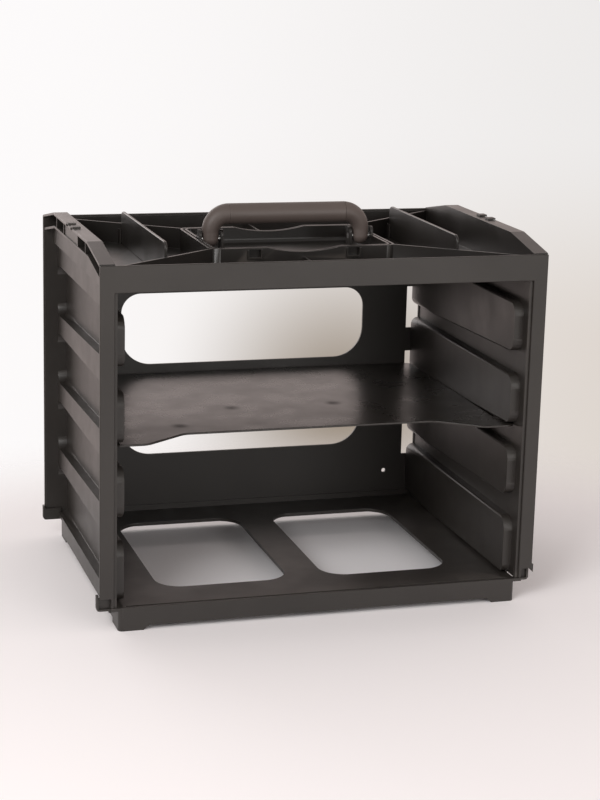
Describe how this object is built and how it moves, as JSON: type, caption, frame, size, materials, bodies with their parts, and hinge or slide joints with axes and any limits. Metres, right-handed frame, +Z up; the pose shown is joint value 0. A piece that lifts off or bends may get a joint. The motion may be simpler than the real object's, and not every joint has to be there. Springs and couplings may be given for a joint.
{
  "type": "tool storage caddy",
  "caption": "Open-front carry box of moulded panels with runner pads for cases, a slide-in shelf, a divided top tray and a folding handle.",
  "frame": {"origin": "on the floor, below the middle of the box", "axes": "+X to the right seen from the open front, +Y to the back, +Z up"},
  "size_m": [0.3804, 0.265, 0.3279],
  "materials": {
    "body_plastic": "fine moulded grain, satin",
    "handle_plastic": "fine moulded grain, satin, a little browner than the box",
    "pin_steel": "plain drawn wire"
  },
  "bodies": {
    "box": {"base_panel": "body_plastic", "left_side_panel": "body_plastic", "right_side_panel": "body_plastic", "front_frame": "body_plastic", "back_panel": "body_plastic", "top_tray": "body_plastic", "handle_cradle": "body_plastic", "left_pivot_pin": "pin_steel", "right_pivot_pin": "pin_steel"},
    "handle": {"left_handle_arm": "handle_plastic", "right_handle_arm": "handle_plastic", "handle_grip": "handle_plastic"},
    "shelf": {"shelf_plate": "body_plastic"},
    "left_divider": {"left_divider": "body_plastic"},
    "right_divider": {"right_divider": "body_plastic"}
  },
  "joints": [
    {"name": "handle_fold", "type": "hinge", "parent": "box", "child": "handle", "pos_m": [0, 0, 0.298], "axis": [1, 0, 0], "range_deg": [-90, 90]},
    {"name": "shelf_slide", "type": "slide", "parent": "box", "child": "shelf", "axis": [0, -1, 0], "range_m": [0, 0.25]},
    {"name": "left_divider_lift", "type": "slide", "parent": "box", "child": "left_divider", "axis": [0, 0, 1], "range_m": [0, 0.032]},
    {"name": "right_divider_lift", "type": "slide", "parent": "box", "child": "right_divider", "axis": [0, 0, 1], "range_m": [0, 0.032]}
  ]
}
